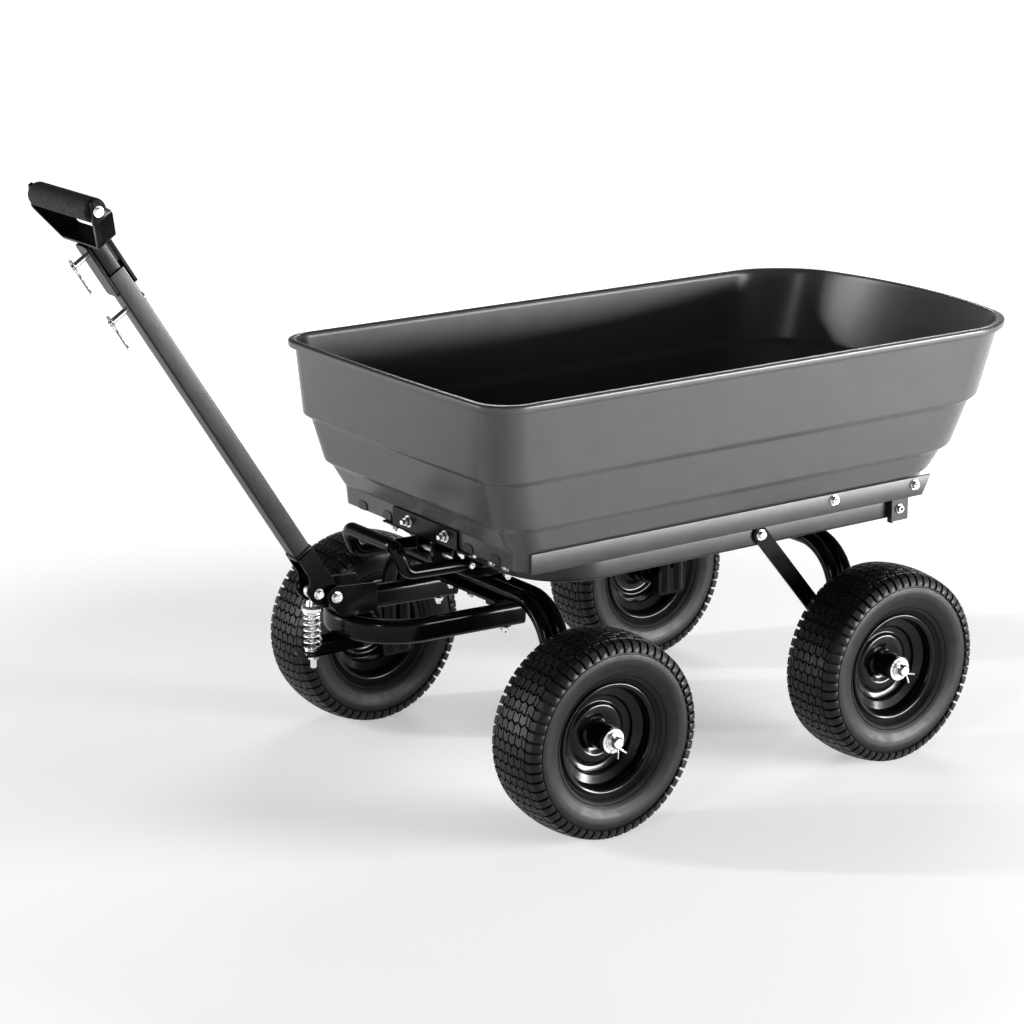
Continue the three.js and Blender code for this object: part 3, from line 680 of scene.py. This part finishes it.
# ---- chassis ----
def build_chassis():
    bm = bmesh.new()
    mid_y = RAIL_Y - RAIL_W / 2
    front = RAIL_FRONT_X - RAIL_W / 2
    z = RAIL_Z + RAIL_H / 2
    route = [(RAIL_REAR_X, mid_y, z), (front, mid_y, z), (front, -mid_y, z), (RAIL_REAR_X, -mid_y, z)]
    sweep(bm, bent(route, 99.5, 20), rectangle(RAIL_H / 2, RAIL_W / 2, 5), (0, 0, 1))
    for _, s in SIDES:
        lug = link(RAIL_REAR_X + 30, HINGE.z, HINGE.x, HINGE.z, 15)
        prism(bm, lug, *sorted((s * 214.2, s * 220.4)))
    piece("chassis_loop_look", bm, "chassis", GREY_PAINT, ["chassis_loop"], smooth=30)


def build_braces():
    for side, s in SIDES:
        bm = bmesh.new()
        inner, outer = RAIL_Y + 0.4, RAIL_Y + 5.4
        prism(bm, link(*BRACE_TOP, -AXLE_X, WHEEL_R, 14), *sorted((s * inner, s * outer)))
        piece(f"brace_{side}_look", bm, "chassis", BLACK_PAINT, [f"brace_{side}"], bevel=0.8)
        bm = bmesh.new()
        bolt_end(bm, "y", (BRACE_TOP[0], s * outer, BRACE_TOP[1]), s, 7.5, 4.5, 0.5)
        piece(f"brace_bolt_{side}", bm, "chassis", ZINC)


def build_arch(end, x, body):
    bm = bmesh.new()
    for s in (-1, 1):
        at = x + s * ARCH_DX
        route = [(at, ARCH_LEG_Y, 148), (at, ARCH_LEG_Y, ARCH_TOP), (at, -ARCH_LEG_Y, ARCH_TOP), (at, -ARCH_LEG_Y, 148)]
        sweep(bm, bent(route, 85, 14), circle(ARCH_R, 28), (1, 0, 0))
    for _, s in SIDES:
        low, high = sorted((s * 223, s * 244.8))
        prism(bm, fillet([(x - 30, 141), (x + 30, 141), (x + 30, 189), (x - 30, 189)], 8, 5), low, high)
    piece(f"{end}_arch_look", bm, body, BLACK_PAINT, [f"{end}_axle_arch"], smooth=35)


def build_spindles():
    for end, x in (("front", AXLE_X), ("rear", -AXLE_X)):
        body = "steering" if end == "front" else "chassis"
        for side, s in SIDES:
            start = RAIL_Y + (0.4 if end == "front" else 5.8)
            bm = bmesh.new()
            profile = [(0, start), (15, start), (16, start + 1), (16, 284), (15, 285), (9.4, 285), (9.4, 370), (0, 370)]
            profile = [(r, s * (y)) for r, y in profile]
            turned(bm, profile if s > 0 else profile[::-1], "y", (x, 0, WHEEL_R), 32)
            piece(f"spindle_{end}_{side}_look", bm, body, BLACK_PAINT, [f"spindle_{end}_{side}"])


# ---- steering ----
def build_yoke():
    bm = bmesh.new()
    mid_y = 95.5
    z = YOKE_Z + YOKE_H / 2
    rear = z - YOKE_DROP
    route = [(266, mid_y, rear), (547.5, mid_y, z), (547.5, -mid_y, z), (266, -mid_y, rear)]
    sweep(bm, bent(route, 95, 24), rectangle(YOKE_H / 2, 12.5, 11, 7), (0, 0, 1))
    piece("yoke_look", bm, "steering", BLACK_PAINT, ["steering_yoke"])


def build_tongue():
    bm = bmesh.new()
    floor = YOKE_Z + YOKE_H + 0.4
    cheek = [(497, floor), (562, floor), (586, floor + 26), (589, 360), (583, 371), (572, 374), (497, 369)]
    for _, s in SIDES:
        prism(bm, fillet(cheek, 6, 4), *sorted((s * 26, s * 31)))
    block(bm, 497, 556, -26.5, 26.5, floor, floor + 5)
    piece("tongue_look", bm, "steering", BLACK_PAINT, ["tongue_bracket"], bevel=0.9)
    bm = bmesh.new()
    turned(bm, [(0, -43), (6, -43), (6, 38), (0, 38)], "y", (PIVOT.x, 0, PIVOT.z), 20)
    bolt_end(bm, "y", (PIVOT.x, 31.2, PIVOT.z), 1, 7.6, 4.5, 1)
    bolt_end(bm, "y", (PIVOT.x, -31.2, PIVOT.z), -1, 9.5, 5.8, 3)
    piece("pivot_bolt_look", bm, "steering", ZINC, ["handle_pivot_bolt"])


def build_spring_seat():
    bm = bmesh.new()
    plate = [(517, -21), (612, -21), (622, -14), (627, 0), (622, 14), (612, 21), (517, 21)]
    prism(bm, fillet(plate, 8, 5), 262, 266, "xy")
    for _, s in SIDES:
        prism(bm, [(517, 262), (606, 262), (606, 270), (590, 282), (517, 282)], *sorted((s * 17.5, s * 21)))
    piece("spring_seat_look", bm, "steering", BLACK_PAINT, ["spring_bracket"], bevel=0.7)


def coil_route(radius, low, high, turns, steps=22):
    out = []
    count = int(turns * steps)
    for k in range(count + 1):
        t = k / count
        # The end turns lie flat.
        rise = min(1, max(0, (t * turns - 0.7) / (turns - 1.4)))
        z = low + (high - low) * rise
        a = 2 * math.pi * turns * t
        out.append(Vector((TRUNNION.x + radius * math.cos(a), radius * math.sin(a), z)))
    return out


def build_spring():
    bm = bmesh.new()
    sweep(bm, coil_route(12.8, 268.4, 328.7, 7.5), circle(2.1, 10), (0, 0, 1))
    made = piece("return_spring_look", bm, "steering", ZINC, ["return_spring"], smooth=60)
    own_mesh(made)


def build_spring_rod():
    at = (TRUNNION.x, 0, 0)
    bm = bmesh.new()
    turned(bm, [(0, 238), (4, 238), (5, 239.5), (5, TRUNNION.z), (0, TRUNNION.z)], "z", at, 20)
    washer(bm, 5.2, 11.5, -8, 8, "y", TRUNNION, 28, 1)
    piece("spring_rod_look", bm, "spring_rod", ZINC, ["spring_rod"])
    bm = bmesh.new()
    profile = [(5.2, 331), (16, 331), (17, 332.2), (17, 337.6), (15.6, 339.4), (10.6, 340), (9.8, 341.2)]
    profile += [(9.2, 347.8), (8.4, 349), (5.2, 349)]
    turned(bm, profile, "z", at, 36)
    piece("spring_cap_look", bm, "spring_rod", ZINC, ["spring_cap"])
    bm = bmesh.new()
    hexagon(bm, 9.6, 252.8, 259.4, "z", at)
    washer(bm, 5.2, 13, 259.6, 261.4, "z", at, 28)
    piece("rod_nut_look", bm, "spring_rod", ZINC, ["rod_nut"])


# ---- handle ----
def build_handle_bracket():
    bm = bmesh.new()
    ear = [(-15, 88), (15, 88), (16, 50), (21, 41), (31, 37), (34, 31), (33, 10), (22, -4), (8, -13), (-8, -13)]
    ear.append((-15, -4))
    for _, s in SIDES:
        prism(bm, fillet(ear, 6, 4), *sorted((s * 15.6, s * 19.6)))
    block(bm, -15, -11, -16, 16, 30, 88)
    piece("handle_bracket_look", bm, "handle", BLACK_PAINT, ["handle_bracket"], HANDLE, bevel=0.8)
    bm = bmesh.new()
    bead = rectangle(17.2, 17.2, 4, 4)
    sweep(bm, [Vector((0, 0, z)) for z in (85, 86.5, 89, 91, 93)], bead, (1, 0, 0))
    for v in bm.verts:
        v.co.xy *= 1 - 0.012 * abs(v.co.z - 88.5)
    piece("handle_weld", bm, "handle", BLACK_PAINT, (), HANDLE)
    bm = bmesh.new()
    local = HANDLE.inverted() @ (CART @ TRUNNION)
    turned(bm, [(0, -24), (5, -24), (5, 24), (0, 24)], "y", local, 18)
    for s in (1, -1):
        bolt_end(bm, "y", (local.x, s * 19.8, local.z), s, 7.0, 4.6, 0.4)
    piece("trunnion_bolt_look", bm, "handle", ZINC, ["trunnion_bolt"], HANDLE)


def build_handle_tube():
    bm = bmesh.new()
    sweep(bm, [Vector((0, 0, 89)), Vector((0, 0, 652))], rectangle(15, 15, 3.2, 5), (1, 0, 0))
    piece("handle_tube_look", bm, "handle", SHADED_HANDLE_GREY, ["handle_tube"], HANDLE, smooth=30)
    bm = bmesh.new()
    sweep(bm, [Vector((0, 0, 650)), Vector((0, 0, 713))], rectangle(11.6, 11.6, 2.2, 4), (1, 0, 0))
    piece("grip_stem_look", bm, "handle", BLACK_PAINT, ["grip_stem"], HANDLE, smooth=30)
    for name, low, high in (("front", 15.3, 20), ("back", -20, -15.3)):
        bm = bmesh.new()
        plate = fillet([(-17, 620), (17, 620), (17, 713.5), (-17, 713.5)], 6, 4)
        prism(bm, plate, low, high, "yz")
        piece(f"tow_plate_{name}_look", bm, "handle", BLACK_PAINT, [f"tow_plate_{name}"], HANDLE, bevel=0.6)


def build_grip():
    bm = bmesh.new()
    path = [(0, 95.0, 795), (0, 95.0, 764), (0, 54, 716.5), (0, -54, 716.5), (0, -95.0, 764), (0, -95.0, 795)]
    route = bent([Vector(p) for p in path], 9, 6)
    sweep(bm, route, rectangle(17, 2.5, 1.0, 2), (1, 0, 0))
    for v in bm.verts:
        over = v.co.z - 778
        if over > 0:
            v.co.x *= math.sqrt(max(0.02, 1 - (over / 17.3) ** 2))
    piece("grip_strap_look", bm, "handle", BLACK_PAINT, ["grip_strap"], HANDLE, smooth=40)
    bm = bmesh.new()
    profile = [(6.5, -91), (13, -91), (16.5, -89.5), (18, -86), (18, 86), (16.5, 89.5), (13, 91), (6.5, 91)]
    turned(bm, fillet(profile, 2.5, 4), "y", (0, 0, 778), 48)
    made = piece("grip_foam_look", bm, "handle", FOAM, ["grip_foam"], HANDLE, smooth=40)
    bm = bmesh.new()
    turned(bm, [(0, -100), (6, -100), (6, 100), (0, 100)], "y", (0, 0, 778), 20)
    for s in (1, -1):
        bolt_end(bm, "y", (0, s * 97.8, 778), s, 6.6, 4.4, 1)
    piece("grip_bolt_look", bm, "handle", ZINC, ["grip_bolt"], HANDLE)


PINS = (("upper", 695, 20), ("lower", 590, 15))
CLIP_X = 46


def build_pins():
    for name, z, face in PINS:
        bm = bmesh.new()
        end = CLIP_X + 5
        start = -face - 0.5
        profile = [(0, start - 4), (6.6, start - 4), (7.5, start - 3), (7.5, start), (4.5, start)]
        profile += [(4.5, end - 2), (3, end), (0, end)]
        turned(bm, profile, "x", (0, 0, z), 24)
        piece(f"hitch_pin_{name}_look", bm, "handle", ZINC, [f"hitch_pin_{name}"], HANDLE)
        bm = bmesh.new()
        clip = [(0, -52), (0, -24), (0, 4), (2, 14), (9, 13), (10.5, 5), (7.5, -4), (7, -12), (3.2, -20), (5.2, -30)]
        clip += [(3.0, -39), (5.5, -46)]
        route = [Vector((CLIP_X, y, z + dz)) for y, dz in fillet(clip, 9, 5, closed=False)]
        sweep(bm, route, circle(1.3, 10), (1, 0, 0))
        piece(f"r_clip_{name}_look", bm, "handle", WIRE, [f"r_clip_{name}"], HANDLE, smooth=60)


# ---- tub fittings ----
def build_tub_rails():
    for side, s in SIDES:
        bm = bmesh.new()
        angle = [(226, 412.3), (262.3, 412.3), (262.3, 445.8), (258.4, 445.8), (258.4, 415.6), (226, 415.6)]
        rings = []
        for end, slant in ((-440.6, 0.55), (366, 0)):
            rings.append([(end - slant * (z - 412.3), s * y, z) for y, z in fillet(angle, 1.2, 3)])
        grid(bm, rings, caps=True)
        x0, x1 = HINGE.x - 20, HINGE.x + 23
        ear = fillet([(x0, 371), (x1, 371), (x1, 412.6), (x0, 412.6)], 2, 3)
        prism(bm, ear, *sorted((s * 246.2, s * 250)))
        fold = fillet([(x1 - 4, 371), (x1, 371), (x1, 412.6), (x1 - 4, 412.6)], 1.2, 2)
        prism(bm, fold, *sorted((s * 249, s * 257)))
        piece(f"tub_rail_{side}_look", bm, "tub", GREY_PAINT, [f"tub_rail_{side}"], bevel=0.5)
        bm = bmesh.new()
        for x, z in ((-244, 435), (-422, 433)):
            bolt_end(bm, "y", (x, s * 262.3, z), s, 7.5, 4, 3)
        piece(f"rail_bolts_{side}", bm, "tub", ZINC)
        bm = bmesh.new()
        shaft = [(0, s * 203), (5.4, s * 203), (5.4, s * 252), (0, s * 252)]
        turned(bm, shaft if s > 0 else shaft[::-1], "y", (HINGE.x, 0, HINGE.z), 20)
        bolt_end(bm, "y", (HINGE.x, s * 250.3, HINGE.z), s, 6.6, 4, 0)
        bolt_end(bm, "y", (HINGE.x, s * 213.8, HINGE.z), -s, 8, 5, 2)
        piece(f"hinge_bolt_{side}_look", bm, "chassis", ZINC, [f"hinge_bolt_{side}"])


def build_skirt_shade_patches():
    """Small dark arched blocks along the bottom of the tub's front skirt: painted shade standing for its small arched
    undercuts, each with a lip.
    """
    for name, y in (("outer_left", 190), ("inner_left", 116), ("inner_right", -116), ("outer_right", -190)):
        bm = bmesh.new()
        arch = fillet([(y - 14, 416.4), (y + 14, 416.4), (y + 11, 431), (y - 11, 431)], 7, 5)
        prism(bm, arch, 378, 383.8, "yz")
        # The dark NYLON finish here is painted shade for the hollow of each undercut.
        piece(f"skirt_notch_shade_{name}", bm, "tub", NYLON, bevel=0.6)


def build_front_bracket():
    bm = bmesh.new()
    block(bm, 383.4, 388, -92, 92, 412.3, 446)
    block(bm, 322, 388, -122, 122, 412.3, 415.6)
    for _, s in SIDES:
        ear = link(RELEASE.x, RELEASE.z, RELEASE.x, 402, 13)
        prism(bm, ear, *sorted((s * 50, s * 55)))
    piece("front_bracket_look", bm, "tub", BLACK_PAINT, ["tub_front_bracket"], bevel=0.7)
    bm = bmesh.new()
    for y in (-45, 60):
        bolt_end(bm, "x", (388, y, 431), 1, 8, 4.4, 7)
    for _, s in SIDES:
        for x, y in ((380, 96), (362, 104), (346, 116)):
            bolt_end(bm, "z", (x, s * y, 412.2), -1, 6.4, 3.6, 4)
    piece("front_bracket_bolts", bm, "tub", ZINC)


def build_chassis_bolts():
    """Bolts in the front of the chassis loop, and the nuts that hang under the yoke's legs."""
    bm = bmesh.new()
    for _, s in SIDES:
        for y in (48, 105, 141):
            bolt_end(bm, "x", (328.1 - (1.6 if y == 141 else 0), s * y, 390), 1, 6.2, 3.6, 2)
        bolt_end(bm, "z", (318, s * 132, 376.8), -1, 7.4, 4.2, 4)
    piece("chassis_bolts", bm, "chassis", ZINC)
    bm = bmesh.new()
    for _, s in SIDES:
        bolt_end(bm, "z", (298, s * 95.5, 275.9), -1, 7.6, 4.2, 5)
        bolt_end(bm, "z", (318, s * 30, 321.3), -1, 7.0, 4.2, 4)
    piece("yoke_nuts", bm, "steering", ZINC)


def build_release():
    bm = bmesh.new()
    half = 73
    route = [
        (RELEASE.x, half, RELEASE.z),
        (470, half, 388),
        (487, half, 432),
        (487, -half, 432),
        (470, -half, 388),
        (RELEASE.x, -half, RELEASE.z),
    ]
    sweep(bm, bent([Vector(p) for p in route], 20, 9), circle(11, 28), (0, 1, 0))
    piece("release_handle_look", bm, "release", BLACK_PAINT, ["release_handle"])


def build_kept_nodes():
    looks = {
        "front_cross_member": BLACK_PAINT,
        "rear_cross_member": BLACK_PAINT,
        "turntable_upper_plate": BLACK_PAINT,
        "turntable_lower_plate": BLACK_PAINT,
        "turntable_bush": NYLON,
        "kingpin": ZINC,
        "yoke_saddle_plate": BLACK_PAINT,
        "release_pivot_rod": ZINC,
        "release_latch_cam": BLACK_PAINT,
    }
    for node, look in looks.items():
        dress(node, look)
    for end in ("front", "rear"):
        for side, _ in SIDES:
            dress(f"hub_bearing_{end}_{side}", NYLON, 0.3)


# ---- stage ----
def build_stage():
    """A white floor that glows faintly, as a light table does, under a studio whose ceiling is dark."""
    mesh = bpy.data.meshes.new("floor")
    bm = bmesh.new()
    bmesh.ops.create_grid(bm, x_segments=8, y_segments=8, size=24)
    bm.to_mesh(mesh)
    bm.free()
    floor = bpy.data.objects.new("floor", mesh)
    bpy.context.scene.collection.objects.link(floor)
    paint = shade("floor_paint", (0.88, 0.88, 0.88), 0.8, gloss=0.2, grain=(60, 0.02), mottle=(1.5, 0.01))
    tree = paint.node_tree
    surface = tree.nodes["Principled BSDF"]
    surface.inputs["Emission Color"].default_value = (1, 1, 1, 1)
    place = tree.nodes.new("ShaderNodeTexCoord")
    away = tree.nodes.new("ShaderNodeVectorMath")
    away.operation = "LENGTH"
    tree.links.new(place.outputs["Object"], away.inputs[0])
    ramp_to(tree, away.outputs["Value"], (1.1, 3.0), (0.34, 1.0), surface.inputs["Emission Strength"])
    mesh.materials.append(paint)


def ramp_to(tree, source, given, wanted, target):
    """Links a value to an input, with its range changed from given to wanted."""
    ramp = tree.nodes.new("ShaderNodeMapRange")
    ramp.inputs["From Min"].default_value, ramp.inputs["From Max"].default_value = given
    ramp.inputs["To Min"].default_value, ramp.inputs["To Max"].default_value = wanted
    tree.links.new(source, ramp.inputs["Value"])
    tree.links.new(ramp.outputs["Result"], target)


def build_world():
    world = bpy.data.worlds.new("studio")
    bpy.context.scene.world = world
    world.use_nodes = True
    tree = world.node_tree
    place = tree.nodes.new("ShaderNodeTexCoord")
    split = tree.nodes.new("ShaderNodeSeparateXYZ")
    tree.links.new(place.outputs["Generated"], split.inputs["Vector"])
    sky = tree.nodes["Background"]
    sky.inputs["Color"].default_value = (1, 1, 1, 1)
    ramp_to(tree, split.outputs["Z"], (0.08, 0.26), (0.85, 0.05), sky.inputs["Strength"])
    bpy.context.scene.view_settings.view_transform = "Standard"


def add_light(name, at, target, size, power):
    data = bpy.data.lights.new(name, "AREA")
    data.shape = "RECTANGLE"
    data.size, data.size_y = size
    data.energy = power
    lamp = bpy.data.objects.new(name, data)
    bpy.context.scene.collection.objects.link(lamp)
    lamp.location = at
    lamp.rotation_euler = (Vector(at) - Vector(target)).to_track_quat("Z", "Y").to_euler()
    return lamp


def build_lights():
    """Two low soft boxes light the side and the front from behind the corner that faces the camera, and two
    narrow strips stand higher, for the streaks inside the tub."""
    target = (-0.1, 0, 0.5)
    add_light("side_box", (-3.0, 3.6, 0.56), target, (2.6, 1.0), 520)
    add_light("front_box", (3.8, -2.4, 0.5), target, (2.0, 0.9), 70)
    add_light("camera_strip", (3.7, 2.5, 1.75), target, (0.14, 1.3), 34)
    add_light("front_strip", (3.9, -2.6, 1.8), target, (0.12, 1.3), 100)
    add_light("back_strip", (-2.6, -2.6, 2.4), target, (2.4, 0.3), 40)


CAMERA_AT = Vector((2.82716, 3.69083, 1.70856))
CAMERA_AZIMUTH = math.radians(35.2689)
CAMERA_HEIGHT = math.radians(15.8058)


def build_camera():
    data = bpy.data.cameras.new("camera")
    data.sensor_width = 36
    data.lens = 101.84
    camera = bpy.data.objects.new("camera", data)
    bpy.context.scene.collection.objects.link(camera)
    camera.location = CAMERA_AT + Vector((MIDDLE.x, 0, 0))
    flat = math.cos(CAMERA_HEIGHT)
    back = Vector((math.sin(CAMERA_AZIMUTH) * flat, math.cos(CAMERA_AZIMUTH) * flat, math.sin(CAMERA_HEIGHT)))
    camera.rotation_euler = back.to_track_quat("Z", "Y").to_euler()
    bpy.context.scene.camera = camera


def main():
    build_tub()
    build_wheels()
    build_chassis()
    build_braces()
    build_arch("front", AXLE_X, "steering")
    build_arch("rear", -AXLE_X, "chassis")
    build_spindles()
    build_yoke()
    build_tongue()
    build_spring_seat()
    build_spring()
    build_spring_rod()
    build_handle_bracket()
    build_handle_tube()
    build_grip()
    build_pins()
    build_tub_rails()
    build_skirt_shade_patches()
    build_front_bracket()
    build_chassis_bolts()
    build_release()
    build_kept_nodes()
    build_stage()
    build_world()
    build_lights()
    build_camera()


main()
